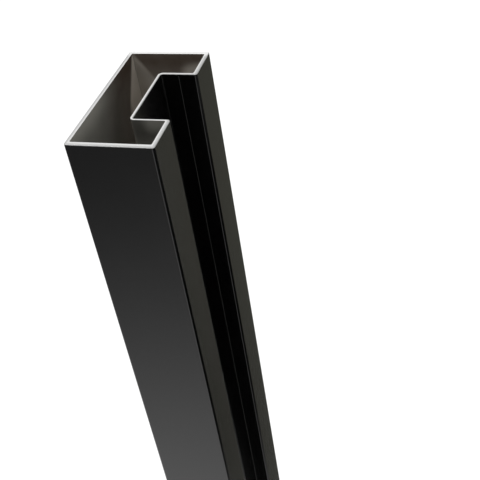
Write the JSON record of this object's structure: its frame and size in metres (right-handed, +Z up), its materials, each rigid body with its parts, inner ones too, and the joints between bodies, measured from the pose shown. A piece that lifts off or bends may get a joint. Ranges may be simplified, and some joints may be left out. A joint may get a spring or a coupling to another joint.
{
  "type": "metal fence post",
  "caption": "Slotted end post for a panel fence: a hollow extruded section with a full-length slot along its side, sawn square at the ends.",
  "frame": {"origin": "middle of the ground end's bounding rectangle, on the sawn face", "axes": "+Z up along the post, +X out of the panel slot's mouth, +Y from the front face to the back face"},
  "size_m": [0.05, 0.1, 2.4],
  "materials": {
    "powder_coat": "satin black powder coat"
  },
  "bodies": {
    "root": {"post": "powder_coat"}
  },
  "joints": []
}
